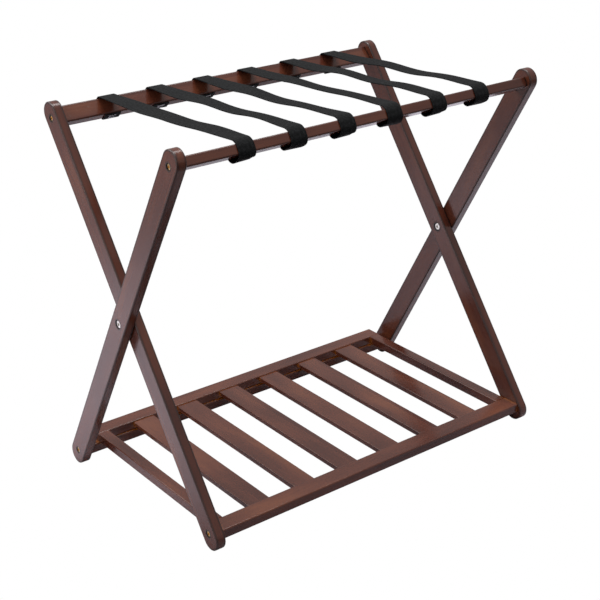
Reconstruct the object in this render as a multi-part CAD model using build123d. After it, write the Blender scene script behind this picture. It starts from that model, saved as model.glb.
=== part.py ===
from build123d import *
import os
from math import asin, atan2, cos, degrees, hypot, radians, sin

# Folding luggage rack: two crossed leg frames on sleeve-nut pivots, a shelf of slats let into
# mortised rails that hinges on the front feet, and webbing straps stapled from rail to rail.
# Millimetres. +X runs along the rack, the front faces -Y, +Z is up, and the origin lies on
# the floor in the middle of the footprint.

# ---- overall ----
RACK_LENGTH = 640.0       # over the outer legs
RACK_DEPTH = 390.0        # front foot to back foot
RACK_HEIGHT = 580.0       # floor to leg tips

# ---- legs ----
LEG_WIDE = 35.0           # also the diameter of the round ends
LEG_THICK = 15.0
LEG_EDGE = 1.5            # rounding of the edges
SCREW_FROM_TIP = 25.0     # rail screw to leg tip

# ---- rails of the leg frames ----
RAIL_WIDE = 28.0
RAIL_THICK = 15.0
RAIL_EDGE = 2.5
FRONT_RAIL_RISE = -26.0   # degrees that a rail's wide side rises towards the back
BACK_RAIL_RISE = 48.5

# ---- shelf ----
SHELF_THICK = 15.0
SHELF_EDGE = 2.0
SHELF_END_PLAY = 0.5      # between the shelf and each inner leg
SHELF_FRONT_WIDE = 30.0
SHELF_BACK_WIDE = 28.0
SHELF_END_WIDE = 19.0
SHELF_OVERHANG = 2.5      # past the back of the foot rail
SHELF_SEAT_PLAY = 0.02    # between the shelf and the foot rail
SLAT_COUNT = 6
SLAT_WIDE = 37.0
SLAT_THICK = 8.0
SLAT_EDGE = 1.2
SLAT_RECESS = 2.0         # slat tops below the rail tops
TENON_LONG = 8.0
TENON_SHOULDER = 3.0      # step on each side of an end rail's tenon
JOINT_PLAY = 0.1          # wood joints, each side

# ---- straps ----
STRAP_COUNT = 6
STRAP_WIDE = 34.0
STRAP_THICK = 1.8
STRAP_END_SPACE = 79.0    # inner leg to the middle of the first strap
STRAP_PLAY = 0.3          # strap to rail, staple and slot
STRAP_SAG = 5.0
STRAP_LOW_POINT = 0.6     # share of the span, from the front, where it hangs lowest
STRAP_SAG_BEND = 0.45     # share of the shorter side of the sag that its bend takes up
STRAP_CREST = 2.0         # rise of the stiff webbing over the front rail
STRAP_CREST_RADIUS = 12.0
STRAP_LOOP_DROP = 7.5     # slack below the front rail
STRAP_LOOP_RADIUS = 9.0
TAB_INSET = 1.0           # strap end short of the rail's edge

# ---- staples ----
STAPLE_CROWN = 12.0
STAPLE_WIRE_WIDE = 1.2
STAPLE_WIRE_THICK = 0.7
STAPLE_DEPTH = 6.0        # leg length in the wood
STAPLE_SPREAD = 2.6       # each staple from the middle of the tab
STAPLE_TILT = 9.0         # degrees, the two staples of a tab lean apart
STAPLE_HOLE_PLAY = 0.05

# ---- screws and inserts ----
SCREW_SHANK = 6.0
SCREW_LONG = 25.0         # under the head
SCREW_HEAD = 9.0
SCREW_HEAD_TALL = 3.0
SCREW_HEAD_EDGE = 0.0     # left sharp, below the wood's face
SCREW_HEX = 4.0           # across flats
SCREW_HEX_DEEP = 2.0
SCREW_SINK = 1.0          # head below the wood
HEAD_PLAY = 0.3           # head to counterbore wall
SHANK_PLAY = 0.05         # shank in leg, insert and nut
INSERT_WIDE = 9.0
INSERT_LONG = 15.0
INSERT_PLAY = 0.05

# ---- crossing pivots ----
PIVOT_HEAD = 12.0         # bolt head and nut flange
PIVOT_HEAD_TALL = 3.0
PIVOT_HEAD_EDGE = 0.8
PIVOT_HEAD_PLAY = 0.5     # head to counterbore wall
PIVOT_BARREL = 8.0        # sleeve that the inner leg turns on
PIVOT_RUNNING = 0.05      # sleeve in the legs, radial
PIVOT_BOLT_LONG = 19.0    # under the head
PIVOT_HEX = 5.0
PIVOT_HEX_DEEP = 2.0
PIVOT_END_PLAY = 0.1      # sleeve end to bolt head, and flange to inner leg
WASHER_WIDE = 22.0
WASHER_THICK = 1.0        # sets the gap between the crossing legs

# ---- worked out from the above ----
OUTER_FACE = RACK_LENGTH / 2
OUTER_INSIDE = OUTER_FACE - LEG_THICK
INNER_FACE = OUTER_INSIDE - WASHER_THICK
INNER_INSIDE = INNER_FACE - LEG_THICK
LEG_RUN = RACK_DEPTH - LEG_WIDE
LEG_CLIMB = RACK_HEIGHT - LEG_WIDE
LEG_LONG = hypot(LEG_RUN, LEG_CLIMB) + LEG_WIDE
LEAN = atan2(LEG_RUN, LEG_CLIMB)
SCREW_REACH = LEG_LONG / 2 - SCREW_FROM_TIP
SCREW_Y = SCREW_REACH * sin(LEAN)
SCREW_LOW = RACK_HEIGHT / 2 - SCREW_REACH * cos(LEAN)
SCREW_HIGH = RACK_HEIGHT / 2 + SCREW_REACH * cos(LEAN)
SHELF_RISE = degrees(asin(((SHELF_THICK + RAIL_THICK) / 2 + SHELF_SEAT_PLAY) / (2 * SCREW_Y)))
SEAT = 2 * SCREW_Y * cos(radians(SHELF_RISE))     # hinge to foot rail, along the shelf
SHELF_HALF = INNER_INSIDE - SHELF_END_PLAY
SHELF_BACK = SEAT + RAIL_WIDE / 2 + SHELF_OVERHANG
SHELF_BAY = SHELF_BACK - SHELF_BACK_WIDE - SHELF_FRONT_WIDE / 2
SLOT = (2 * (SHELF_HALF - SHELF_END_WIDE) - SLAT_COUNT * SLAT_WIDE) / (SLAT_COUNT + 1)
STRAP_PITCH = 2 * (INNER_INSIDE - STRAP_END_SPACE) / (STRAP_COUNT - 1)
STRAP_PLACES = [(i - (STRAP_COUNT - 1) / 2) * STRAP_PITCH for i in range(STRAP_COUNT)]
STRAP_OFF = STRAP_PLAY + STRAP_THICK / 2          # rail face to the middle of the webbing


def section_plane(y, z, rise):
    """Plane across the rack at (y, z): its x rises `rise` degrees to the back, its z is +X."""
    direction = (0, cos(radians(rise)), sin(radians(rise)))
    return Plane(origin=(0, y, z), x_dir=direction, z_dir=(1, 0, 0))


FRONT_RAIL_PLANE = section_plane(-SCREW_Y, SCREW_HIGH, FRONT_RAIL_RISE)
BACK_RAIL_PLANE = section_plane(SCREW_Y, SCREW_HIGH, BACK_RAIL_RISE)
FOOT_RAIL_PLANE = section_plane(SCREW_Y, SCREW_LOW, SHELF_RISE)
SHELF_PLANE = Plane(
    origin=(0, -SCREW_Y, SCREW_LOW),
    x_dir=(1, 0, 0),
    z_dir=(0, -sin(radians(SHELF_RISE)), cos(radians(SHELF_RISE))),
)


def both_sides(piece):
    """The piece and its mirror image across the middle of the rack."""
    return [piece, mirror(piece, about=Plane.YZ)]


def sideways(x, y, z):
    """Plane at a right-hand hole, facing out along +X."""
    return Plane(origin=(x, y, z), x_dir=(0, 1, 0), z_dir=(1, 0, 0))


# ---- legs ----

def leg(inside, to_back, pivot_cut):
    """Right-hand leg from x = inside, its top leaning to the back (+1) or the front (-1)."""
    upwards = (0, to_back * sin(LEAN), cos(LEAN))
    plane = Plane(origin=(inside, 0, RACK_HEIGHT / 2), x_dir=upwards, z_dir=(1, 0, 0))
    blank = extrude(SlotOverall(LEG_LONG, LEG_WIDE), LEG_THICK)
    faces = blank.faces().sort_by(Axis.Z)
    blank = fillet(faces[0].edges() + faces[-1].edges(), LEG_EDGE)
    screw_cut = CounterBoreHole(
        radius=SCREW_SHANK / 2 + SHANK_PLAY,
        counter_bore_radius=SCREW_HEAD / 2 + HEAD_PLAY,
        counter_bore_depth=SCREW_SINK + SCREW_HEAD_TALL,
        depth=LEG_THICK,
    )
    for reach in (-SCREW_REACH, SCREW_REACH):
        blank -= Pos(reach, 0, LEG_THICK) * screw_cut
    return plane * (blank - pivot_cut)


def pivot_hole():
    """Hole for the sleeve, with a counterbore for the bolt head or the nut's flange."""
    return CounterBoreHole(
        radius=PIVOT_BARREL / 2 + PIVOT_RUNNING,
        counter_bore_radius=PIVOT_HEAD / 2 + PIVOT_HEAD_PLAY,
        counter_bore_depth=SCREW_SINK + PIVOT_HEAD_TALL,
        depth=LEG_THICK,
    )


def outer_leg():
    return leg(OUTER_INSIDE, -1, Pos(0, 0, LEG_THICK) * pivot_hole())


def inner_leg():
    return leg(INNER_INSIDE, 1, Rot(180, 0, 0) * pivot_hole())


# ---- rails of the leg frames ----

def insert_holes(half, y, z):
    """Blind holes in both ends of a rail."""
    drill = Cylinder(
        INSERT_WIDE / 2 + INSERT_PLAY,
        INSERT_LONG + INSERT_PLAY,
        align=(Align.CENTER, Align.CENTER, Align.MAX),
    )
    return both_sides(sideways(half, y, z) * drill)


def rail(plane, half):
    """Rail of the stock section, with rounded edges and a threaded insert's hole at each end."""
    bar = extrude(plane * RectangleRounded(RAIL_WIDE, RAIL_THICK, RAIL_EDGE), half, both=True)
    return bar - insert_holes(half, plane.origin.Y, plane.origin.Z)


# ---- staples ----

def tab_plane(rail_plane, towards, x):
    """Plane on the narrow side of a rail where a strap ends; towards is +1 or -1 along it."""
    out = rail_plane.x_dir * towards
    middle = rail_plane.origin + out * (RAIL_WIDE / 2) + Vector(x, 0, 0)
    return Plane(origin=middle, x_dir=(1, 0, 0), z_dir=out)


def staple_pair():
    """Where the two staples of a tab sit, in the tab's plane."""
    return [Pos(0, k * STAPLE_SPREAD, 0) * Rot(0, 0, k * STAPLE_TILT) for k in (-1, 1)]


def staple():
    """One staple: a flat wire crown over the webbing and two legs in the wood."""
    under = STRAP_PLAY + STRAP_THICK + STAPLE_HOLE_PLAY
    top = under + STAPLE_WIRE_THICK
    half = STAPLE_CROWN / 2
    with BuildPart() as wire:
        with BuildSketch(Plane.XZ):
            with BuildLine():
                Polyline(
                    (-half, -STAPLE_DEPTH), (-half, top), (half, top), (half, -STAPLE_DEPTH),
                    (half - STAPLE_WIRE_THICK, -STAPLE_DEPTH), (half - STAPLE_WIRE_THICK, under),
                    (STAPLE_WIRE_THICK - half, under), (STAPLE_WIRE_THICK - half, -STAPLE_DEPTH),
                    close=True,
                )
            make_face()
        extrude(amount=STAPLE_WIRE_WIDE / 2, both=True)
    return wire.part


def staple_slots(play, low, high):
    """Slots that the two staples' legs pass through, from low to high off the rail's face."""
    middle = (STAPLE_CROWN - STAPLE_WIRE_THICK) / 2
    slot = Box(
        STAPLE_WIRE_THICK + 2 * play,
        STAPLE_WIRE_WIDE + 2 * play,
        high - low,
        align=(Align.CENTER, Align.CENTER, Align.MIN),
    )
    return [place * Pos(side * middle, 0, low) * slot for place in staple_pair() for side in (-1, 1)]


def staples(rail_plane, towards):
    planes = [tab_plane(rail_plane, towards, x) for x in STRAP_PLACES]
    return [plane * place * staple() for plane in planes for place in staple_pair()]


def stapled_rail(plane, half, towards):
    """Rail with the staples' slots cut in its narrow side."""
    slots = staple_slots(STAPLE_HOLE_PLAY, -STAPLE_DEPTH - STAPLE_HOLE_PLAY, STAPLE_HOLE_PLAY)
    cuts = [tab_plane(plane, towards, x) * slot for x in STRAP_PLACES for slot in slots]
    return rail(plane, half) - cuts


# ---- straps ----

def strap_route():
    """Middle line of the webbing in the YZ plane, and the radius at each of its corners.

    It starts on the narrow back side of the front rail, hangs slack under it, climbs its narrow
    front side, spans to the back rail, runs down behind it and ends on its narrow lower side.
    """
    wide = RAIL_WIDE / 2 + STRAP_OFF
    thick = RAIL_THICK / 2 + STRAP_OFF
    tab = RAIL_THICK / 2 - TAB_INSET
    hug = RAIL_EDGE + STRAP_OFF
    low = -(RAIL_THICK / 2 + STRAP_LOOP_DROP + STRAP_OFF)
    crest = FRONT_RAIL_PLANE.from_local_coords(Vector(-wide, thick + STRAP_CREST, 0))
    ridge = BACK_RAIL_PLANE.from_local_coords(Vector(wide, thick, 0))
    sag = crest + (ridge - crest) * STRAP_LOW_POINT - Vector(0, 0, STRAP_SAG)
    span_radius = STRAP_SAG_BEND * min((sag - crest).length, (ridge - sag).length)
    turn = (sag - crest).get_angle(ridge - sag)
    front = [(wide, tab), (wide, low), (-wide, low)]
    back = [(wide, -thick), (-wide, -thick), (-wide, tab)]
    points = [FRONT_RAIL_PLANE.from_local_coords(Vector(s, h, 0)) for s, h in front]
    points += [crest, sag, ridge]
    points += [BACK_RAIL_PLANE.from_local_coords(Vector(s, h, 0)) for s, h in back]
    radii = [STRAP_LOOP_RADIUS, STRAP_LOOP_RADIUS, STRAP_CREST_RADIUS]
    radii += [span_radius / sin(radians(turn / 2)) * cos(radians(turn / 2)), hug, hug, hug]
    return [(point.Y, point.Z) for point in points], radii


def strap_middle():
    points, radii = strap_route()
    return FilletPolyline(*points, radius=radii)


def strap(x):
    """Webbing strap centred on x."""
    across = Plane(origin=(x, 0, 0), x_dir=(0, 1, 0), z_dir=(1, 0, 0))
    ribbon = extrude(across * trace(strap_middle(), line_width=STRAP_THICK), STRAP_WIDE / 2, both=True)
    slots = staple_slots(STRAP_PLAY, 0, STRAP_PLAY + STRAP_THICK + STRAP_PLAY)
    ends = [tab_plane(FRONT_RAIL_PLANE, 1, x), tab_plane(BACK_RAIL_PLANE, -1, x)]
    return ribbon - [end * slot for end in ends for slot in slots]


# ---- shelf ----

def shelf_board(length_x, length_y, thick, edge, along):
    """Board with the edges that run along one axis rounded."""
    board = Box(length_x, length_y, thick)
    return fillet(board.edges().filter_by(along), edge)


def slat_places():
    first = -(SHELF_HALF - SHELF_END_WIDE) + SLOT + SLAT_WIDE / 2
    return [first + i * (SLOT + SLAT_WIDE) for i in range(SLAT_COUNT)]


def mortises(edge_y):
    """Pockets for the slats and the end rails' tenons, cut from the shelf rail's inner side."""
    deep = TENON_LONG + JOINT_PLAY
    slat_z = SHELF_THICK / 2 - SLAT_RECESS - SLAT_THICK / 2
    tenon_wide = SHELF_END_WIDE - 2 * TENON_SHOULDER
    slat_pocket = Box(SLAT_WIDE + 2 * JOINT_PLAY, 2 * deep, SLAT_THICK + 2 * JOINT_PLAY)
    tenon_pocket = Box(tenon_wide + 2 * JOINT_PLAY, 2 * deep, SLAT_THICK + 2 * JOINT_PLAY)
    pockets = [Pos(x, edge_y, slat_z) * slat_pocket for x in slat_places()]
    ends = SHELF_HALF - SHELF_END_WIDE / 2
    return pockets + [Pos(x, edge_y, slat_z) * tenon_pocket for x in (-ends, ends)]


def shelf_front_rail():
    board = shelf_board(2 * SHELF_HALF, SHELF_FRONT_WIDE, SHELF_THICK, SHELF_EDGE, Axis.X)
    board -= mortises(SHELF_FRONT_WIDE / 2)
    return SHELF_PLANE * board - insert_holes(SHELF_HALF, -SCREW_Y, SCREW_LOW)


def shelf_back_rail():
    board = shelf_board(2 * SHELF_HALF, SHELF_BACK_WIDE, SHELF_THICK, SHELF_EDGE, Axis.X)
    board = Pos(0, SHELF_BACK - SHELF_BACK_WIDE / 2, 0) * board
    return SHELF_PLANE * (board - mortises(SHELF_BACK - SHELF_BACK_WIDE))


def shelf_end_rail(side):
    """End rail with a stub tenon in each of the long rails; side is -1 left or +1 right."""
    slat_z = SHELF_THICK / 2 - SLAT_RECESS - SLAT_THICK / 2
    middle_y = (SHELF_FRONT_WIDE + SHELF_BAY) / 2
    body = shelf_board(SHELF_END_WIDE, SHELF_BAY, SHELF_THICK, SHELF_EDGE, Axis.Y)
    tenon = Box(SHELF_END_WIDE - 2 * TENON_SHOULDER, SHELF_BAY + 2 * TENON_LONG, SLAT_THICK)
    rail_x = side * (SHELF_HALF - SHELF_END_WIDE / 2)
    return SHELF_PLANE * Pos(rail_x, middle_y, 0) * (body + Pos(0, 0, slat_z) * tenon)


def shelf_slat(x):
    """Thin slat, its ends let into the long rails and its top below theirs."""
    board = shelf_board(SLAT_WIDE, SHELF_BAY + 2 * TENON_LONG, SLAT_THICK, SLAT_EDGE, Axis.Y)
    slat_z = SHELF_THICK / 2 - SLAT_RECESS - SLAT_THICK / 2
    return SHELF_PLANE * Pos(x, (SHELF_FRONT_WIDE + SHELF_BAY) / 2, slat_z) * board


# ---- hardware ----

def socket_bolt(head, head_tall, edge, shank, long, hexagon, hexagon_deep):
    """Bolt along -Z with its head on z = 0, a hexagon socket in it and its rim broken by edge."""
    body = Pos(0, 0, head_tall / 2) * Cylinder(head / 2, head_tall)
    if edge:
        body = chamfer(body.edges().filter_by(GeomType.CIRCLE).sort_by(Axis.Z)[-1], edge)
    body += Cylinder(shank / 2, long, align=(Align.CENTER, Align.CENTER, Align.MAX))
    socket = RegularPolygon(hexagon / 2, 6, major_radius=False)
    return body - extrude(Pos(0, 0, head_tall) * socket, -hexagon_deep)


def leg_screw(seat, y, z):
    """Screw with its head on the counterbore's floor at x = seat."""
    screw = socket_bolt(
        SCREW_HEAD, SCREW_HEAD_TALL, SCREW_HEAD_EDGE, SCREW_SHANK, SCREW_LONG,
        SCREW_HEX, SCREW_HEX_DEEP,
    )
    return sideways(seat, y, z) * screw


def insert(end, y, z):
    """Threaded insert, flush with a rail's end at x = end."""
    half = INSERT_LONG / 2
    tube = Cylinder(INSERT_WIDE / 2, INSERT_LONG) - Cylinder(SCREW_SHANK / 2 + SHANK_PLAY, INSERT_LONG)
    return sideways(end - half, y, z) * tube


def pivot_bolt():
    seat = OUTER_FACE - SCREW_SINK - PIVOT_HEAD_TALL
    bolt = socket_bolt(
        PIVOT_HEAD, PIVOT_HEAD_TALL, PIVOT_HEAD_EDGE, SCREW_SHANK, PIVOT_BOLT_LONG,
        PIVOT_HEX, PIVOT_HEX_DEEP,
    )
    return sideways(seat, 0, RACK_HEIGHT / 2) * bolt


def pivot_sleeve_nut():
    """Flanged sleeve from the inner leg's counterbore to the bolt's head, tapped for the bolt."""
    seat = INNER_INSIDE + SCREW_SINK + PIVOT_HEAD_TALL - PIVOT_END_PLAY
    bolt_seat = OUTER_FACE - SCREW_SINK - PIVOT_HEAD_TALL
    long = bolt_seat - PIVOT_END_PLAY - seat
    nut = socket_bolt(
        PIVOT_HEAD, PIVOT_HEAD_TALL, PIVOT_HEAD_EDGE, PIVOT_BARREL, long,
        PIVOT_HEX, PIVOT_HEX_DEEP,
    )
    tapped = Cylinder(
        SCREW_SHANK / 2 + SHANK_PLAY,
        PIVOT_BOLT_LONG + PIVOT_END_PLAY,
        align=(Align.CENTER, Align.CENTER, Align.MIN),
    )
    nut -= Pos(0, 0, -long) * tapped
    inwards = Plane(origin=(seat, 0, RACK_HEIGHT / 2), x_dir=(0, 1, 0), z_dir=(-1, 0, 0))
    return inwards * nut


def pivot_washer():
    bore = PIVOT_BARREL / 2 + PIVOT_RUNNING
    ring = Cylinder(WASHER_WIDE / 2, WASHER_THICK) - Cylinder(bore, WASHER_THICK)
    return sideways(INNER_FACE + WASHER_THICK / 2, 0, RACK_HEIGHT / 2) * ring


# ---- the whole rack ----

def build():
    """Every node's name with its shape."""
    outer_seat = OUTER_FACE - SCREW_SINK - SCREW_HEAD_TALL
    inner_seat = INNER_FACE - SCREW_SINK - SCREW_HEAD_TALL
    nodes = {}
    nodes["right_outer_leg"], nodes["left_outer_leg"] = both_sides(outer_leg())
    nodes["right_inner_leg"], nodes["left_inner_leg"] = both_sides(inner_leg())
    nodes["front_top_rail"] = stapled_rail(FRONT_RAIL_PLANE, OUTER_INSIDE, 1)
    nodes["back_top_rail"] = stapled_rail(BACK_RAIL_PLANE, INNER_INSIDE, -1)
    nodes["rear_foot_rail"] = rail(FOOT_RAIL_PLANE, OUTER_INSIDE)
    nodes["shelf_front_rail"] = shelf_front_rail()
    nodes["shelf_back_rail"] = shelf_back_rail()
    nodes["shelf_left_end_rail"] = shelf_end_rail(-1)
    nodes["shelf_right_end_rail"] = shelf_end_rail(1)
    for i, x in enumerate(slat_places(), start=1):
        nodes[f"shelf_slat_{i}"] = shelf_slat(x)
    for i, x in enumerate(STRAP_PLACES, start=1):
        nodes[f"strap_{i}"] = strap(x)
    outer_ends = [(-SCREW_Y, SCREW_HIGH), (SCREW_Y, SCREW_LOW)]
    groups = {
        "outer_leg_screws": [leg_screw(outer_seat, y, z) for y, z in outer_ends],
        "inner_leg_screws": [leg_screw(inner_seat, SCREW_Y, SCREW_HIGH)],
        "shelf_pivot_screws": [leg_screw(inner_seat + PIVOT_END_PLAY, -SCREW_Y, SCREW_LOW)],
        "outer_rail_inserts": [insert(OUTER_INSIDE, y, z) for y, z in outer_ends],
        "inner_rail_inserts": [insert(INNER_INSIDE, SCREW_Y, SCREW_HIGH)],
        "shelf_rail_inserts": [insert(SHELF_HALF, -SCREW_Y, SCREW_LOW)],
        "pivot_bolts": [pivot_bolt()],
        "pivot_sleeve_nuts": [pivot_sleeve_nut()],
        "pivot_washers": [pivot_washer()],
    }
    for name, right_hand in groups.items():
        nodes[name] = Compound([half for piece in right_hand for half in both_sides(piece)])
    nodes["front_strap_staples"] = Compound(staples(FRONT_RAIL_PLANE, 1))
    nodes["back_strap_staples"] = Compound(staples(BACK_RAIL_PLANE, -1))
    return nodes


os.makedirs("parts", exist_ok=True)
for node, shape in build().items():
    export_step(shape, f"parts/{node}.step")
print(f"lean {degrees(LEAN):.2f} deg, leg {LEG_LONG:.1f}, shelf rise {SHELF_RISE:.3f} deg, slot {SLOT:.1f}")
print(f"screws at y {SCREW_Y:.2f}, z {SCREW_LOW:.2f} and {SCREW_HIGH:.2f}, strap {strap_middle().length:.1f}")
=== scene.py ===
"""Folding luggage rack in stained wood, with webbing straps, seen from its left front corner."""

import logging
from collections.abc import Callable, Sequence
from dataclasses import dataclass, field
from enum import Enum
from math import atan2, cos, pi, radians, sin, tan

import bmesh
import bpy
from mathutils import Matrix, Vector

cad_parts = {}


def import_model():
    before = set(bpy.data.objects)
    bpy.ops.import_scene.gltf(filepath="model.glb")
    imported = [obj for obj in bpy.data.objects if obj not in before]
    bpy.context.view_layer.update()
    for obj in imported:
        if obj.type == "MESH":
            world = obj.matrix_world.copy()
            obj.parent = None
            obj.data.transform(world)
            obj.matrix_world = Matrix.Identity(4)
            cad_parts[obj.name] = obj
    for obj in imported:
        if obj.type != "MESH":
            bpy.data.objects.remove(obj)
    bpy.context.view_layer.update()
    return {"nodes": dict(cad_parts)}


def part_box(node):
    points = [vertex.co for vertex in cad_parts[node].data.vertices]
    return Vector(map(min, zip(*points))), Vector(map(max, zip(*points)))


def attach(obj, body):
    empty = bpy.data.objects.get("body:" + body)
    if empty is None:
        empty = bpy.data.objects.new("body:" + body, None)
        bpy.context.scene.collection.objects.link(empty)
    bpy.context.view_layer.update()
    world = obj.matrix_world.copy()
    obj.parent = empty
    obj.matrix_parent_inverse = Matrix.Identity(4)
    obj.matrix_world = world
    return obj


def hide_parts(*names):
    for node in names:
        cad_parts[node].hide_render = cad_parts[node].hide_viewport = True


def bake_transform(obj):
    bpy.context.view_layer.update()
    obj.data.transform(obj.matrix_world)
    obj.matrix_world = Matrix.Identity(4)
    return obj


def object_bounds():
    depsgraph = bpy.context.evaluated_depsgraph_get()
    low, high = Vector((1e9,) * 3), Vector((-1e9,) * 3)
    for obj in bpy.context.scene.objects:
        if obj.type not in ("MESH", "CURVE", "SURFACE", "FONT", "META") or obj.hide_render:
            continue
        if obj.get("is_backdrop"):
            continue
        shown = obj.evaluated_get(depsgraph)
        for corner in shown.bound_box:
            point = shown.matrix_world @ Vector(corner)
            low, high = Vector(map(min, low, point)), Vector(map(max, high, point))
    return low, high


LOG = logging.getLogger("luggage_rack")
MM = 0.001
CLOTH_UV = "cloth"
MERGE = 0.000001  # metres within which doubles are merged

Socket = bpy.types.NodeSocket
Colour = tuple[float, float, float]
LEG_LEAN = 33.08  # degrees from upright
FRONT_RAIL_RISE = -26.0  # degrees that a rail's wide side rises towards the back
BACK_RAIL_RISE = 48.5
SHELF_RISE = 2.482


# ---------------------------------------------------------------- shader building


class NodeTree:
    """A material's node tree, with short calls for the nodes that the finishes share."""

    def __init__(self, name: str) -> None:
        """Make an empty material.

        Args:
            name: the material's name.
        """
        self.material = bpy.data.materials.new(name)
        self.material.use_nodes = True
        self.nodes = self.material.node_tree.nodes
        self.links = self.material.node_tree.links
        self.shader = self.nodes["Principled BSDF"]

    def add(self, kind: str, **settings: object) -> bpy.types.Node:
        """Add a node.

        Args:
            kind: the node's type name.
            **settings: properties set on the node.

        Returns:
            The new node.
        """
        node = self.nodes.new(kind)
        for key, value in settings.items():
            setattr(node, key, value)
        return node

    def join(self, source: Socket, target: Socket) -> None:
        """Link an output to an input."""
        self.links.new(source, target)

    def math(self, operation: str, a: Socket | float, b: Socket | float = 0.0) -> Socket:
        """Combine two values.

        Args:
            operation: the Math node's operation.
            a: first value or socket.
            b: second value or socket.

        Returns:
            The result's socket.
        """
        node = self.add("ShaderNodeMath", operation=operation)
        for slot, value in enumerate((a, b)):
            if isinstance(value, (int, float)):
                node.inputs[slot].default_value = value
            else:
                self.join(value, node.inputs[slot])
        return node.outputs[0]

    def place(
        self,
        turn: Colour = (0.0, 0.0, 0.0),
        move: Colour = (0.0, 0.0, 0.0),
    ) -> Socket:
        """Object coordinates turned and moved for a pattern.

        Args:
            turn: rotation in radians.
            move: offset added after the rotation.

        Returns:
            The mapped vector's socket.
        """
        coordinates = self.add("ShaderNodeTexCoord")
        mapping = self.add("ShaderNodeMapping")
        mapping.inputs["Rotation"].default_value = turn
        mapping.inputs["Location"].default_value = move
        self.join(coordinates.outputs["Object"], mapping.inputs["Vector"])
        return mapping.outputs["Vector"]

    def stretch(self, vector: Socket, scale: Colour) -> Socket:
        """Scale a vector per axis.

        Args:
            vector: the vector's socket.
            scale: factor per axis.

        Returns:
            The scaled vector's socket.
        """
        node = self.add("ShaderNodeVectorMath", operation="MULTIPLY")
        self.join(vector, node.inputs[0])
        node.inputs[1].default_value = scale
        return node.outputs[0]

    def noise(
        self, vector: Socket, scale: float, detail: float = 3.0, rough: float = 0.5
    ) -> Socket:
        """Noise value at a vector.

        Args:
            vector: where to read it.
            scale: cells per metre of the vector.
            detail: octaves.
            rough: weight of the fine octaves.

        Returns:
            The value's socket, around 0.5.
        """
        node = self.add("ShaderNodeTexNoise")
        node.inputs["Scale"].default_value = scale
        node.inputs["Detail"].default_value = detail
        node.inputs["Roughness"].default_value = rough
        self.join(vector, node.inputs["Vector"])
        return node.outputs["Fac"]

    def ramp(self, value: Socket, stops: Sequence[tuple[float, Colour]]) -> Socket:
        """Colour picked by a value.

        Args:
            value: position on the ramp.
            stops: pairs of position and colour.

        Returns:
            The colour's socket.
        """
        node = self.add("ShaderNodeValToRGB")
        elements = node.color_ramp.elements
        while len(elements) < len(stops):
            elements.new(0.5)
        for element, (position, colour) in zip(elements, stops, strict=True):
            element.position = position
            element.color = (*colour, 1.0)
        self.join(value, node.inputs["Fac"])
        return node.outputs["Color"]

    def remap(
        self, value: Socket, low: float, high: float, to: tuple[float, float] = (0.0, 1.0)
    ) -> Socket:
        """Clamp a value to a range and rescale it.

        Args:
            value: the value's socket.
            low: input low end.
            high: input high end.
            to: output ends.

        Returns:
            The rescaled value's socket.
        """
        node = self.add("ShaderNodeMapRange")
        node.inputs["From Min"].default_value = low
        node.inputs["From Max"].default_value = high
        node.inputs["To Min"].default_value, node.inputs["To Max"].default_value = to
        self.join(value, node.inputs["Value"])
        return node.outputs["Result"]

    def blend(self, share: Socket, a: Socket, b: Colour) -> Socket:
        """Mix a plain colour into another one.

        Args:
            share: how much of the plain colour.
            a: the colour that it is mixed into.
            b: the plain colour.

        Returns:
            The mixed colour's socket.
        """
        node = self.add("ShaderNodeMix", data_type="RGBA", blend_type="MIX")
        self.join(share, node.inputs[0])
        self.join(a, node.inputs[6])
        node.inputs[7].default_value = (*b, 1.0)
        return node.outputs[2]

    def vary(self, pattern: Socket, value: float, least: float, most: float) -> Socket:
        """A value that a noise pattern lowers and raises.

        Args:
            pattern: the noise, around 0.5.
            value: the value to vary.
            least: factor in the pattern's low places.
            most: factor in its high places.

        Returns:
            The varied value's socket.
        """
        return self.remap(pattern, 0.3, 0.7, (value * least, value * most))

    def total(self, parts: Sequence[tuple[Socket, float]]) -> Socket:
        """Weighted sum of values.

        Args:
            parts: pairs of value and weight.

        Returns:
            The sum's socket.
        """
        (value, weight), *rest = parts
        whole = self.math("MULTIPLY", value, weight)
        for value, weight in rest:
            whole = self.math("ADD", whole, self.math("MULTIPLY", value, weight))
        return whole

    def split(self, vector: Socket) -> tuple[Socket, Socket]:
        """Take a vector apart.

        Args:
            vector: the vector's socket.

        Returns:
            The sockets of its X and Y parts.
        """
        node = self.add("ShaderNodeSeparateXYZ")
        self.join(vector, node.inputs[0])
        return node.outputs["X"], node.outputs["Y"]

    def away(self, value: Socket, middle: float) -> Socket:
        """How far a value is from a middle, on either side."""
        return self.math("ABSOLUTE", self.math("SUBTRACT", value, middle), 0.0)

    def relief(self, height: Socket, depth: float, strength: float) -> None:
        """Drive the shader's normal with a height.

        Args:
            height: height from 0 to 1.
            depth: metres between 0 and 1.
            strength: share of the effect.
        """
        bump = self.add("ShaderNodeBump")
        bump.inputs["Distance"].default_value = depth
        bump.inputs["Strength"].default_value = strength
        self.join(height, bump.inputs["Height"])
        self.join(bump.outputs["Normal"], self.shader.inputs["Normal"])

    def constants(self, **values: float | Colour) -> None:
        """Set plain values on the shader.

        Args:
            **values: input name with underscores for spaces, and its value.
        """
        for key, value in values.items():
            shade = (*value, 1.0) if isinstance(value, tuple) else value
            self.shader.inputs[key.replace("_", " ")].default_value = shade


# ---------------------------------------------------------------- finishes


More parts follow.
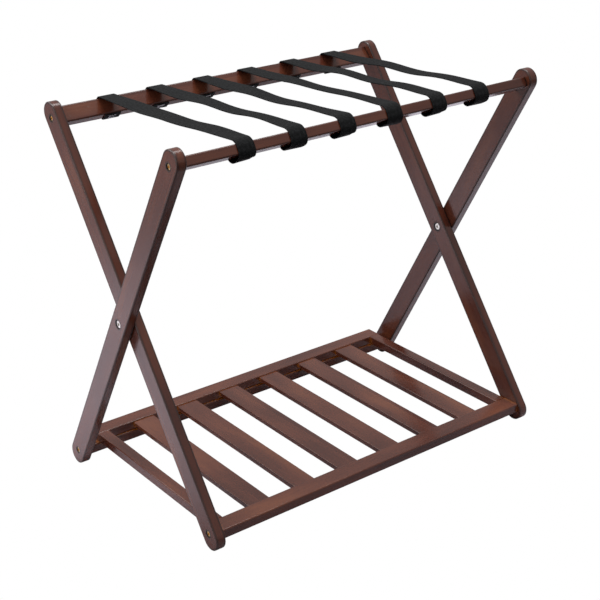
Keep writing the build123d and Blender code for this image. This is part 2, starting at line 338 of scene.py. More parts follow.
class Grain(Enum):
    """Turn, in degrees about X then Y, that brings a board's grain upright."""

    OUTER_LEG = (-LEG_LEAN, 0.0)
    INNER_LEG = (LEG_LEAN, 0.0)
    FRONT_RAIL = (-FRONT_RAIL_RISE, -90.0)
    BACK_RAIL = (-BACK_RAIL_RISE, -90.0)
    SHELF_LONG = (-SHELF_RISE, -90.0)
    SHELF_DEEP = (90.0 - SHELF_RISE, 0.0)


@dataclass(frozen=True)
class GrainNoise:
    """Noise drawn out along the grain."""

    along: float  # cells along the grain, as a share of those across it
    cells: float  # per metre across the grain
    detail: float = 3.0
    rough: float = 0.5

    def read(self, tree: NodeTree, vector: Socket) -> Socket:
        """The noise's value at a vector whose Z runs along the grain."""
        drawn = tree.stretch(vector, (1.0, 1.0, self.along))
        return tree.noise(drawn, self.cells, self.detail, self.rough)


@dataclass(frozen=True)
class StainedWood:
    """Plantation hardwood under a dark reddish stain and a satin-gloss varnish."""

    dark: Colour = (0.038, 0.0082, 0.0046)
    middle: Colour = (0.080, 0.0212, 0.0112)
    light: Colour = (0.142, 0.0440, 0.0185)
    pore: Colour = (0.018, 0.0048, 0.0032)
    pore_share: float = 0.35
    pore_window: tuple[float, float] = (0.66, 0.74)  # noise where a pore starts and is full
    pore_depth: float = 0.00009  # metres
    pore_relief: float = 0.25
    varnish_rough: float = 0.19
    edge_wide: float = 0.0042  # metres from an edge over which the colour darkens
    edge_darkening: float = 0.95
    edge_open: tuple[float, float] = (0.92, 0.72)  # openness where the darkening starts and is full
    edge_rough: float = 0.2
    # colour that the edges darken to
    edge_dark: Colour = (0.006, 0.0022, 0.0017)
    corner_bounce: float = 0.0  # how strongly orange bounce light is painted into the corners
    corner_wide: float = 0.012
    corner_open: tuple[float, float] = (0.8, 0.45)
    # orange of the painted bounce light
    bounce_orange: Colour = (0.5, 0.15, 0.012)
    pith_reach: float = 0.085  # metres from a board's middle to the tree's middle
    pith_turn: float = 2.4  # radians round the tree from one board to the next
    board_step: Colour = (0.03, -0.02, 0.9)  # metres in the tree from one board to the next
    ring_pitch: float = 0.0052
    ring_sway: float = 0.03
    ring_distortion: float = 0.6
    streaks: GrainNoise = GrainNoise(0.022, 420.0, 3.0, 0.6)
    fibres: GrainNoise = GrainNoise(0.012, 1500.0, 2.0, 0.6)
    clouds: GrainNoise = GrainNoise(0.25, 26.0)
    pores: GrainNoise = GrainNoise(0.03, 2300.0, 1.0, 0.4)
    ring_weight: float = 0.1
    streak_weight: float = 0.13
    cloud_weight: float = 0.62
    fibre_weight: float = 0.09
    contrast: tuple[float, float] = (0.28, 0.72)  # tone that gives the dark and the light stain
    open_samples: int = 8

    def dress(self, name: str, grain: Grain, board: int) -> bpy.types.Material:
        """Make one board's material.

        Args:
            name: the board's name.
            grain: which way its grain runs.
            board: number of the board, which picks its cut from the tree.

        Returns:
            The material.
        """
        tree = NodeTree(f"wood_{name}")
        angle = self.pith_turn * board
        turn_x, turn_y = grain.value
        step_x, step_y, step_z = self.board_step
        along = tree.place(
            turn=(radians(turn_x), radians(turn_y), 0.0),
            move=(
                self.pith_reach * cos(angle) + step_x * board,
                self.pith_reach * sin(angle) + step_y * board,
                step_z * board,
            ),
        )
        wander = tree.noise(tree.stretch(along, (9.0, 9.0, 1.1)), 1.6, 2.0)
        bent = tree.add("ShaderNodeVectorMath", operation="MULTIPLY_ADD")
        tree.join(along, bent.inputs[0])
        bent.inputs[1].default_value = (1.0, 1.0, 0.02)
        shift = tree.add("ShaderNodeCombineXYZ")
        sway = tree.math("MULTIPLY", wander, self.ring_sway)
        tree.join(sway, shift.inputs[0])
        tree.join(sway, shift.inputs[1])
        tree.join(shift.outputs[0], bent.inputs[2])
        rings = tree.add("ShaderNodeTexWave", wave_type="RINGS", rings_direction="Z")
        rings.wave_profile = "SAW"
        rings.inputs["Scale"].default_value = 1.0 / (self.ring_pitch * 20.0)
        rings.inputs["Distortion"].default_value = self.ring_distortion
        rings.inputs["Detail"].default_value = 1.0
        tree.join(bent.outputs[0], rings.inputs["Vector"])
        streak = self.streaks.read(tree, along)
        fibre = self.fibres.read(tree, along)
        cloud = self.clouds.read(tree, along)
        pores = self.pores.read(tree, along)
        tone = tree.total(
            [
                (rings.outputs["Fac"], self.ring_weight),
                (streak, self.streak_weight),
                (cloud, self.cloud_weight),
                (fibre, self.fibre_weight),
            ]
        )
        tone = tree.remap(tone, *self.contrast)
        colour = tree.ramp(tone, [(0.0, self.dark), (0.5, self.middle), (1.0, self.light)])
        pits = tree.remap(pores, *self.pore_window)
        colour = tree.blend(tree.math("MULTIPLY", pits, self.pore_share), colour, self.pore)
        rough = tree.vary(streak, self.varnish_rough, 0.8, 1.25)
        # The colour darkens and roughens along each board's own edges.
        if self.edge_darkening:
            open_in = self._openness(tree, self.edge_wide, inside=True, only_local=True)
            edge = tree.remap(open_in, *self.edge_open)
            stain = tree.math("MULTIPLY", edge, self.edge_darkening)
            colour = tree.blend(stain, colour, self.edge_dark)
            rough = tree.math("ADD", rough, tree.math("MULTIPLY", edge, self.edge_rough))
        # Painted bounce light: corners between boards are tinted orange.
        if self.corner_bounce:
            open_out = self._openness(tree, self.corner_wide)
            corner = tree.remap(open_out, *self.corner_open, (0.0, self.corner_bounce))
            colour = tree.blend(corner, colour, self.bounce_orange)
        tree.join(colour, tree.shader.inputs["Base Color"])
        tree.join(rough, tree.shader.inputs["Roughness"])
        height = tree.math("SUBTRACT", tree.math("MULTIPLY", fibre, 0.5), pits)
        tree.relief(height, self.pore_depth, self.pore_relief)
        tree.constants(IOR=1.5)
        return tree.material

    def _openness(self, tree: NodeTree, reach: float, **settings: bool) -> Socket:
        """How open the surface is, 1 away from edges or corners.

        Args:
            tree: the material's nodes.
            reach: metres looked round each point.
            **settings: inside finds a board's own edges, without it corners are found.

        Returns:
            The openness's socket.
        """
        near = tree.add("ShaderNodeAmbientOcclusion", samples=self.open_samples, **settings)
        near.inputs["Distance"].default_value = reach
        return near.outputs["AO"]


@dataclass(frozen=True)
class Metal:
    """Plated or turned metal with fine handling marks."""

    base: Colour
    shade: Colour
    rough: float = 0.25
    marks: float = 900.0  # fine marks per metre
    mark_depth: float = 0.00002  # metres
    mottle: float = 260.0  # patches per metre

    def dress(self, name: str) -> bpy.types.Material:
        """Make the metal.

        Args:
            name: the material's name.

        Returns:
            The material.
        """
        tree = NodeTree(name)
        place = tree.place()
        mottle = tree.noise(place, self.mottle)
        marks = tree.noise(tree.stretch(place, (1.0, 0.15, 1.0)), self.marks, 2.0, 0.6)
        colour = tree.ramp(mottle, [(0.3, self.shade), (0.62, self.base)])
        tree.join(colour, tree.shader.inputs["Base Color"])
        rough = tree.vary(marks, self.rough, 0.75, 1.3)
        tree.join(rough, tree.shader.inputs["Roughness"])
        tree.relief(marks, self.mark_depth, 0.4)
        tree.constants(Metallic=1.0)
        return tree.material


@dataclass(frozen=True)
class Nylon:
    """Matt moulded plastic."""

    base: Colour = (0.012, 0.012, 0.013)
    rough: float = 0.5
    cells: float = 3200.0  # moulding grain per metre
    depth: float = 0.00003  # metres

    def dress(self, name: str) -> bpy.types.Material:
        """Make the plastic.

        Args:
            name: the material's name.

        Returns:
            The material.
        """
        tree = NodeTree(name)
        grain = tree.noise(tree.place(), self.cells, 2.0)
        lighter = tuple(1.5 * part for part in self.base)
        colour = tree.ramp(grain, [(0.35, self.base), (0.7, lighter)])
        tree.join(colour, tree.shader.inputs["Base Color"])
        rough = tree.vary(grain, self.rough, 0.85, 1.15)
        tree.join(rough, tree.shader.inputs["Roughness"])
        tree.relief(grain, self.depth, 0.5)
        return tree.material


@dataclass(frozen=True)
class Webbing:
    """Woven strap: ribs across it, broken by a herringbone, and a tight selvedge."""

    valley: Colour = (0.0018, 0.0019, 0.002)
    yarn: Colour = (0.0066, 0.0069, 0.0073)
    worn: Colour = (0.019, 0.0197, 0.021)
    rib: float = 0.00125  # metres from one weft rib to the next
    column: float = 0.0034  # metres across one herringbone column
    relief: float = 0.00028  # metres
    slant: float = 0.9  # how steeply a column's ribs climb
    warp_pitch: float = 0.8  # share of the weft's
    weft_weight: float = 0.35
    warp_weight: float = 0.15
    fuzz_cells: float = 2600.0  # per metre
    wear_cells: float = 260.0
    wear_window: tuple[float, float] = (0.42, 0.68)
    matt: tuple[float, float] = (0.62, 0.85)  # roughness in the fuzz's low and high places
    gloss: float = 0.09

    def dress(self, name: str) -> bpy.types.Material:
        """Make the webbing.

        Args:
            name: the material's name.

        Returns:
            The material.
        """
        tree = NodeTree(name)
        flat = tree.add("ShaderNodeUVMap", uv_map=CLOTH_UV)
        across, along = tree.split(flat.outputs["UV"])
        zigzag = tree.math("PINGPONG", across, self.column)
        slant = tree.math("ADD", along, tree.math("MULTIPLY", zigzag, self.slant))
        weft = tree.math("SINE", tree.math("MULTIPLY", slant, 2 * pi / self.rib))
        warp_rib = self.rib * self.warp_pitch
        warp = tree.math("SINE", tree.math("MULTIPLY", across, 2 * pi / warp_rib))
        weave = tree.total(
            [
                (tree.math("ADD", weft, 1.0), self.weft_weight),
                (tree.math("ADD", warp, 1.0), self.warp_weight),
            ]
        )
        drawn = tree.stretch(flat.outputs["UV"], (1.0, 0.35, 1.0))
        fuzz = tree.noise(drawn, self.fuzz_cells, 3.0, 0.7)
        wear = tree.noise(flat.outputs["UV"], self.wear_cells)
        tone = tree.total([(weave, 0.6), (fuzz, 0.4)])
        colour = tree.ramp(tone, [(0.2, self.valley), (0.75, self.yarn)])
        worn = tree.math("MULTIPLY", tree.remap(wear, *self.wear_window), tone)
        colour = tree.blend(worn, colour, self.worn)
        tree.join(colour, tree.shader.inputs["Base Color"])
        tree.join(tree.remap(fuzz, 0.3, 0.7, self.matt), tree.shader.inputs["Roughness"])
        height = tree.math("ADD", weave, tree.math("MULTIPLY", fuzz, 0.3))
        tree.relief(height, self.relief, 0.7)
        tree.constants(Specular_IOR_Level=self.gloss)
        return tree.material


WOOD = StainedWood()
RAIL_WOOD = StainedWood(edge_wide=0.0026)
# The shelf gets painted orange bounce light in its corners and no darkened edges.
SHELF_WOOD = StainedWood(edge_darkening=0.0, corner_bounce=0.5)
BRASS = Metal((0.86, 0.64, 0.33), (0.52, 0.35, 0.16), 0.22)
TURNED_BRASS = Metal((0.62, 0.47, 0.24), (0.4, 0.3, 0.15), 0.35)
NICKEL = Metal((0.84, 0.82, 0.77), (0.68, 0.66, 0.61), 0.24)
STEEL = Metal((0.66, 0.67, 0.69), (0.36, 0.37, 0.39), 0.3, 2200.0)


# ---------------------------------------------------------------- mesh helpers


def finish_mesh(bm: bmesh.types.BMesh, name: str) -> bpy.types.Object:
    """Turn a bmesh into an object at the origin, with merged doubles and smooth faces.

    Args:
        bm: the finished mesh, which is freed.
        name: the object's name.

    Returns:
        The linked object.
    """
    bmesh.ops.remove_doubles(bm, verts=bm.verts, dist=MERGE)
    bmesh.ops.recalc_face_normals(bm, faces=bm.faces)
    mesh = bpy.data.meshes.new(name)
    bm.to_mesh(mesh)
    bm.free()
    mesh.shade_smooth()
    piece = bpy.data.objects.new(name, mesh)
    bpy.context.scene.collection.objects.link(piece)
    return piece


def dress(piece: bpy.types.Object, material: bpy.types.Material) -> None:
    """Put a material in every slot of a new mesh.

    Args:
        piece: the object.
        material: its material.
    """
    piece.data.materials.clear()
    piece.data.materials.append(material)


def dress_node(node: bpy.types.Object, material: bpy.types.Material) -> None:
    """Put a material in a carried-over node through its object's slots.

    Args:
        node: the node's object.
        material: its material.
    """
    for slot in node.material_slots:
        slot.link = "OBJECT"
        slot.material = material


def repeat(shape: bmesh.types.BMesh, places: Sequence[Matrix]) -> bmesh.types.BMesh:
    """Copy one shape to several places.

    Args:
        shape: the shape, which is freed.
        places: a matrix for each copy.

    Returns:
        All copies in one mesh.
    """
    bmesh.ops.remove_doubles(shape, verts=shape.verts, dist=MERGE)
    bmesh.ops.recalc_face_normals(shape, faces=shape.faces)
    copy = bpy.data.meshes.new("copy")
    every = bmesh.new()
    for place in places:
        shape.to_mesh(copy)
        copy.transform(place)
        every.from_mesh(copy)
    bpy.data.meshes.remove(copy)
    shape.free()
    return every


# ---------------------------------------------------------------- wooden boards


@dataclass
class WoodenBoards:
    """The legs, rails and shelf boards, whose solids are carried over."""

    boards: dict[str, Grain] = field(
        default_factory=lambda: {
            "left_outer_leg": Grain.OUTER_LEG,
            "right_outer_leg": Grain.OUTER_LEG,
            "left_inner_leg": Grain.INNER_LEG,
            "right_inner_leg": Grain.INNER_LEG,
            "front_top_rail": Grain.FRONT_RAIL,
            "back_top_rail": Grain.BACK_RAIL,
            "rear_foot_rail": Grain.SHELF_LONG,
            "shelf_front_rail": Grain.SHELF_LONG,
            "shelf_back_rail": Grain.SHELF_LONG,
            "shelf_left_end_rail": Grain.SHELF_DEEP,
            "shelf_right_end_rail": Grain.SHELF_DEEP,
        }
    )
    finishes: dict[Grain, StainedWood] = field(
        default_factory=lambda: {
            Grain.FRONT_RAIL: RAIL_WOOD,
            Grain.BACK_RAIL: RAIL_WOOD,
            Grain.SHELF_LONG: SHELF_WOOD,
            Grain.SHELF_DEEP: SHELF_WOOD,
        }
    )
    slat_count: int = 6

    def build(self, nodes: dict[str, bpy.types.Object]) -> None:
        """Dress every board in its own cut of wood.

        Args:
            nodes: the frame's nodes by name.
        """
        boards = dict(self.boards)
        for slat in range(1, self.slat_count + 1):
            boards[f"shelf_slat_{slat}"] = Grain.SHELF_DEEP
        for number, (name, grain) in enumerate(boards.items(), start=1):
            dress_node(nodes[name], self.finishes.get(grain, WOOD).dress(name, grain, number))
            LOG.info("dressed %s", name)


# ---------------------------------------------------------------- socket-head hardware


@dataclass
class SocketHead:
    """A turned head with a rounded rim, a hexagon socket and a shank behind it."""

    radius: float
    tall: float
    rim: float
    hexagon: float  # across flats
    deep: float
    shank: float
    long: float
    around: int = 48

    def seat(self, face: Vector, outward: int) -> Matrix:
        """Where a fastener goes.

        Args:
            face: middle of the head's outer face.
            outward: +1 or -1, the side of X that the head faces.

        Returns:
            The matrix that takes the shape there.
        """
        turn = Matrix.Rotation(radians(90.0 * outward), 4, "Y")
        return Matrix.Translation(face - Vector((outward * self.tall, 0, 0))) @ turn

    def shape(self) -> bmesh.types.BMesh:
        """One fastener, its head on Z = 0 and its shank below.

        Returns:
            The new mesh.
        """
        bm = bmesh.new()
        seat = bmesh.ops.create_circle(bm, cap_ends=False, segments=self.around, radius=self.radius)
        base = list({edge for vert in seat["verts"] for edge in vert.link_edges})
        edge = self._ring(bm, base, self.radius, self.tall)
        mouth = self._ring(bm, edge, self.hexagon / 2, self.tall, six_sided=True)
        floor = self._ring(bm, mouth, self.hexagon / 2, self.tall - self.deep, six_sided=True)
        bmesh.ops.holes_fill(bm, edges=floor, sides=0)
        collar = self._ring(bm, base, self.shank, 0.0)
        tip = self._ring(bm, collar, self.shank, -self.long)
        bmesh.ops.holes_fill(bm, edges=tip, sides=0)
        bmesh.ops.bevel(
            bm, geom=edge, offset=self.rim, segments=3, profile=0.5, affect="EDGES", material=-1
        )
        return bm

    @staticmethod
    def _ring(
        bm: bmesh.types.BMesh,
        edges: Sequence[bmesh.types.BMEdge],
        radius: float,
        height: float,
        six_sided: bool = False,
    ) -> list[bmesh.types.BMEdge]:
        """Extrude a ring of edges to a new radius and height.

        Args:
            bm: the mesh.
            edges: the ring.
            radius: the new ring's radius, or a hexagon's half width across flats.
            height: the new ring's Z.
            six_sided: whether the new ring is a hexagon.

        Returns:
            The new ring's edges.
        """
        made = bmesh.ops.extrude_edge_only(bm, edges=edges)["geom"]
        ring = {part for part in made if isinstance(part, bmesh.types.BMVert)}
        for vert in ring:
            angle = atan2(vert.co.y, vert.co.x)
            reach = radius / cos(angle % (pi / 3) - pi / 6) if six_sided else radius
            vert.co = (reach * cos(angle), reach * sin(angle), height)
        sides = (part for part in made if isinstance(part, bmesh.types.BMEdge))
        return [side for side in sides if ring.issuperset(side.verts)]


@dataclass
class RackHardware:
    """Screws, pivots, washers and inserts, placed from the frame's own boxes."""

    screw: SocketHead = field(
        default_factory=lambda: SocketHead(
            radius=4.5 * MM, tall=3.0 * MM, rim=0.6 * MM, hexagon=4.0 * MM,
            deep=2.0 * MM, shank=3.0 * MM, long=25.0 * MM,
        )
    )
    bolt: SocketHead = field(
        default_factory=lambda: SocketHead(
            radius=6.0 * MM, tall=3.0 * MM, rim=0.8 * MM, hexagon=5.0 * MM,
            deep=2.0 * MM, shank=3.0 * MM, long=19.0 * MM,
        )
    )
    nut: SocketHead = field(
        default_factory=lambda: SocketHead(
            radius=6.0 * MM, tall=3.0 * MM, rim=0.8 * MM, hexagon=5.0 * MM,
            deep=2.0 * MM, shank=4.0 * MM, long=23.0 * MM,
        )
    )
    nut_face: float = 289.9 * MM  # from the middle of the rack
    crisp_angle: float = 35.0  # degrees, above which a corner stays crisp

    def _make(
        self,
        name: str,
        node: str,
        head: SocketHead,
        spots: Sequence[Vector],
        inwards: bool,
        body: str,
        material: bpy.types.Material,
    ) -> None:
        """Make both sides' fasteners of one kind.

        Args:
            name: the new piece's name.
            node: the node that it stands for.
            head: shape of the fastener.
            spots: middles in YZ, with X unused.
            inwards: whether the heads face the middle of the rack.
            body: the body that it rides on.
            material: its finish.
        """
        reach = self.nut_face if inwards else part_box(node)[1].x
        places = [
            head.seat(Vector((side * reach, spot.y, spot.z)), -side if inwards else side)
            for spot in spots
            for side in (-1, 1)
        ]
        piece = finish_mesh(repeat(head.shape(), places), name)
        piece.data.set_sharp_from_angle(angle=radians(self.crisp_angle))
        dress(piece, material)
        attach(piece, body)
        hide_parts(node)
        LOG.info("built %s", name)

    def build(self, nodes: dict[str, bpy.types.Object]) -> None:
        """Make the visible fasteners and dress the hidden ones.

        Args:
            nodes: the frame's nodes by name.
        """
        middle = {name: sum(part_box(name), Vector()) / 2 for name in nodes}
        brass = BRASS.dress("brass_screw_heads")
        nickel = NICKEL.dress("bright_nickel")
        outer = [middle["front_top_rail"], middle["rear_foot_rail"]]
        hinge = middle["shelf_pivot_screws"]
        crossing = middle["pivot_bolts"]
        self._make("rail_screws_outer", "outer_leg_screws", self.screw, outer, False,
                   "outer_frame", brass)
        self._make("rail_screws_inner", "inner_leg_screws", self.screw,
                   [middle["back_top_rail"]], False, "inner_frame", brass)
        self._make("shelf_screws", "shelf_pivot_screws", self.screw, [hinge], False,
                   "shelf", brass)
        self._make("crossing_bolts", "pivot_bolts", self.bolt, [crossing], False,
                   "outer_frame", nickel)
        self._make("crossing_nuts", "pivot_sleeve_nuts", self.nut, [crossing], True,
                   "outer_frame", nickel)
        dress_node(nodes["pivot_washers"], Nylon().dress("washer_nylon"))
        insert = TURNED_BRASS.dress("insert_brass")
        for name in ("outer_rail_inserts", "inner_rail_inserts", "shelf_rail_inserts"):
            dress_node(nodes[name], insert)
        LOG.info("dressed washers and inserts")


# ---------------------------------------------------------------- straps


@dataclass
class RailSection:
    """Section of a top rail: its middle in YZ and the way its wide side runs."""

    node: str
    rise: float  # degrees that the wide side rises towards the back
    wide: float = 28.0 * MM
    thick: float = 15.0 * MM

    def point(self, s: float, h: float) -> Vector:
        """A point of the section.

        Args:
            s: metres along the wide side, towards the back.
            h: metres up through the thickness.

        Returns:
            The point as (y, z).
        """
        low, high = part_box(self.node)
        angle = radians(self.rise)
        return Vector(
            (
                (low.y + high.y) / 2 + s * cos(angle) - h * sin(angle),
                (low.z + high.z) / 2 + s * sin(angle) + h * cos(angle),
            )
        )


@dataclass
class RoundedPath:
    """Straight runs joined by arcs in the YZ plane, read by distance from its start."""

    corners: Sequence[Vector]
    radii: Sequence[float]
    parts: list[tuple[float, Callable[[float], tuple[Vector, Vector]]]] = field(
        default_factory=list
    )

    def __post_init__(self) -> None:
        """Work out each run and arc, with its length."""
        here = self.corners[0]
        for index, radius in enumerate(self.radii, start=1):
            corner = self.corners[index]
            before = (corner - self.corners[index - 1]).normalized()
            after = (self.corners[index + 1] - corner).normalized()
            turn = before.angle_signed(after)
            trim = radius * tan(abs(turn) / 2)
            self._run(here, corner - before * trim)
            self._arc(corner - before * trim, before, radius, -turn)
            here = corner + after * trim
        self._run(here, self.corners[-1])

    @property
    def length(self) -> float:
        """Length of the whole path."""
        return sum(long for long, _ in self.parts)

    def _run(self, start: Vector, end: Vector) -> None:
        """Add a straight run from start to end."""
        way = (end - start).normalized()
        self.parts.append(((end - start).length, lambda d: (start + way * d, way)))

    def _arc(self, start: Vector, way: Vector, radius: float, turn: float) -> None:
        """Add an arc.

        Args:
            start: its first point.
            way: direction there.
            radius: its radius.
            turn: signed angle that it turns through.
        """
        sign = 1.0 if turn > 0 else -1.0
        side = Vector((-way.y, way.x)) * sign
        middle = start + side * radius

        def at(distance: float) -> tuple[Vector, Vector]:
            """Point and direction at a distance along the arc.

            Args:
                distance: metres from the arc's start.

            Returns:
                The point and the unit direction, both in YZ.
            """
            angle = distance / radius
            point = middle - side * radius * cos(angle) + way * radius * sin(angle)
            return point, way * cos(angle) + side * sin(angle)

        self.parts.append((abs(turn) * radius, at))

    def at(self, distance: float) -> tuple[Vector, Vector]:
        """Point and direction at a distance along the path.

        Args:
            distance: metres from the start.

        Returns:
            The point and the unit direction, both in YZ.
        """
        for long, part in self.parts[:-1]:
            if distance <= long:
                return part(distance)
            distance -= long
        return self.parts[-1][1](distance)

    def reach(self, corner: int) -> float:
        """Distance along the path to the middle of a corner's arc.

        Args:
            corner: number of the corner, from 1.

        Returns:
            The distance in metres.
        """
        before = sum(long for long, _ in self.parts[: 2 * corner - 1])
        return before + self.parts[2 * corner - 1][0] / 2


@dataclass(frozen=True)
class StrapLay:
    """How one strap lies, in millimetres: a twist lifts the left edge and lowers the right."""

    crest: float  # lift just behind the front rail
    front_twist: float
    middle_twist: float
    back_twist: float
    lift: float  # of the middle of the span
    ripple: float
    waves: float  # ripples in the span
    start: float  # radians of the first ripple
    loop_twist: float  # of the slack loop under the front rail


@dataclass
class WebbingStraps:
    """The six straps from rail to rail."""

    width: float = 27.0 * MM
    thick: float = 1.7 * MM
    off: float = 1.2 * MM  # rail's face to the middle of the webbing
    tab_short: float = 1.0 * MM
    hug: float = 3.7 * MM
    crest: float = 2.0 * MM
    crest_radius: float = 15.0 * MM
    loop_drop: float = 4.5 * MM
    loop_radius: float = 10.0 * MM
    sag: float = 2.5 * MM
    low_point: float = 0.6  # share of the span, from the front, where it hangs lowest
    sag_bend: float = 0.45  # share of the shorter side of the sag that its bend takes up
    front_window: tuple[float, float] = (0.0, 2.6)  # start and rate of each swell on the span
    middle_window: tuple[float, float] = (0.2, 1.6)
    back_window: tuple[float, float] = (0.48, 1.95)
    selvedge: float = 0.45 * MM
    across: int = 12
    along: int = 260
    fold_height: float = 0.57  # height of the fold points that build works out and doesn't use
    front_fold: float = 0.04  # metres behind the front rail's middle
    back_fold: float = 0.035  # metres before the back rail's middle
    front: RailSection = field(
        default_factory=lambda: RailSection("front_top_rail", FRONT_RAIL_RISE)
    )
    back: RailSection = field(
        default_factory=lambda: RailSection("back_top_rail", BACK_RAIL_RISE)
    )
    lays: Sequence[StrapLay] = (
        StrapLay(0.6, -0.9, -1.0, -1.6, -1.0, 0.7, 2.6, -0.9, 1.0),
        StrapLay(1.7, 1.2, 0.6, -1.8, 1.0, 1.3, 2.3, -1.1, -0.6),
        StrapLay(-0.6, 1.3, 0.2, -2.2, -0.5, 1.7, 2.1, -0.5, 0.6),
        StrapLay(1.0, 1.0, 1.1, -1.2, 1.7, 1.0, 2.2, -1.6, -0.9),
        StrapLay(2.0, 0.1, 0.9, -1.6, 3.2, 1.6, 2.3, -1.1, 0.7),
        StrapLay(1.6, 0.5, 0.1, -1.5, 1.8, 1.6, 2.2, -0.7, -0.4),
    )

    def route(self) -> RoundedPath:
        """The webbing's middle line, from its tab on the front rail to the one on the back rail.

        Returns:
            The path in YZ.
        """
        wide = self.front.wide / 2 + self.off
        thick = self.front.thick / 2 + self.off
        tab = self.front.thick / 2 - self.tab_short
        low = -(thick + self.loop_drop)
        crest = self.front.point(-wide, thick + self.crest)
        ridge = self.back.point(wide, thick)
        sag = crest.lerp(ridge, self.low_point) - Vector((0, self.sag))
        corners = [self.front.point(s, h) for s, h in ((wide, tab), (wide, low), (-wide, low))]
        corners += [crest, sag, ridge]
        back = ((wide, -thick), (-wide, -thick), (-wide, tab))
        corners += [self.back.point(s, h) for s, h in back]
        bend = abs((sag - crest).angle_signed(ridge - sag))
        shorter = min((sag - crest).length, (ridge - sag).length)
        sag_radius = self.sag_bend * shorter / tan(bend / 2)
        radii = [self.loop_radius, self.loop_radius, self.crest_radius, sag_radius]
        radii += [self.hug] * 3
        return RoundedPath(corners, radii)

    @staticmethod
    def _swell(share: float, window: tuple[float, float] = (0.0, 1.0)) -> float:
        """A bump over a window of the span, 0 and level at both ends and 1 in the middle."""
        start, rate = window
        return sin(pi * min(max((share - start) * rate, 0.0), 1.0)) ** 2

    def _lift(self, lay: StrapLay, share: float, side: float) -> float:
        """Height above the plain route.

        Args:
            lay: how this strap lies.
            share: place along the span, 0 at the front rail and 1 at the back one.
            side: place across, -1 left and 1 right.

        Returns:
            The lift in metres.
        """
        ease = self._swell(share)
        near = self._swell(share, self.front_window)
        middle = self._swell(share, self.middle_window)
        far = self._swell(share, self.back_window)
        twist = lay.front_twist * near + lay.middle_twist * middle + lay.back_twist * far
        wave = lay.ripple * sin(lay.waves * 2 * pi * share + lay.start) * ease
        return (lay.crest * near + lay.lift * middle + wave - side * twist) * MM

    def _strap(self, number: int, lay: StrapLay, path: RoundedPath) -> bpy.types.Object:
        """Bend one flat strap along the path.

        Args:
            number: the strap's number.
            lay: how it lies.
            path: its middle line.

        Returns:
            The strap's object.
        """
        low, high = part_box(f"strap_{number}")
        centre = (low.x + high.x) / 2
        bm = bmesh.new()
        bmesh.ops.create_grid(bm, x_segments=self.across, y_segments=self.along, size=0.5)
        bmesh.ops.scale(bm, vec=(self.width, path.length, 1.0), verts=bm.verts)
        bmesh.ops.translate(bm, vec=(0.0, path.length / 2, 0.0), verts=bm.verts)
        cloth = bm.loops.layers.uv.new(CLOTH_UV)
        for face in bm.faces:
            for loop in face.loops:
                loop[cloth].uv = loop.vert.co.xy
        begin, end = path.reach(3), path.reach(5)
        loop_begin, loop_end = path.reach(1), path.reach(2)
        for vert in bm.verts:
            distance, side = vert.co.y, 2 * vert.co.x / self.width
            point, way = path.at(distance)
            up = Vector((-way.y, way.x))
            point = point + up * self._lift(lay, (distance - begin) / (end - begin), side)
            hang = self._swell((distance - loop_begin) / (loop_end - loop_begin))
            point = point - up * lay.loop_twist * side * hang * MM
            vert.co = Vector((centre + vert.co.x, point.x, point.y))
        piece = finish_mesh(bm, f"webbing_strap_{number}")
        wall = piece.modifiers.new("thickness", "SOLIDIFY")
        wall.thickness = self.thick
        wall.offset = 0.0
        wall.use_even_offset = True
        edge = piece.modifiers.new("selvedge", "BEVEL")
        edge.width = self.selvedge
        edge.segments = 2
        edge.limit_method = "ANGLE"
        edge.angle_limit = radians(60.0)
        return piece

    def build(self) -> None:
        path = self.route()
        cloth = Webbing().dress("black_webbing")
        front = Vector((0, self.front.point(0, 0).x + self.front_fold, self.fold_height))
        back = Vector((0, self.back.point(0, 0).x - self.back_fold, self.fold_height))
        for number, lay in enumerate(self.lays, start=1):
            piece = self._strap(number, lay, path)
            dress(piece, cloth)
            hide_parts(f"strap_{number}")
            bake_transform(piece)
            LOG.info("built %s, %.1f mm long", piece.name, path.length / MM)


# ---------------------------------------------------------------- staples


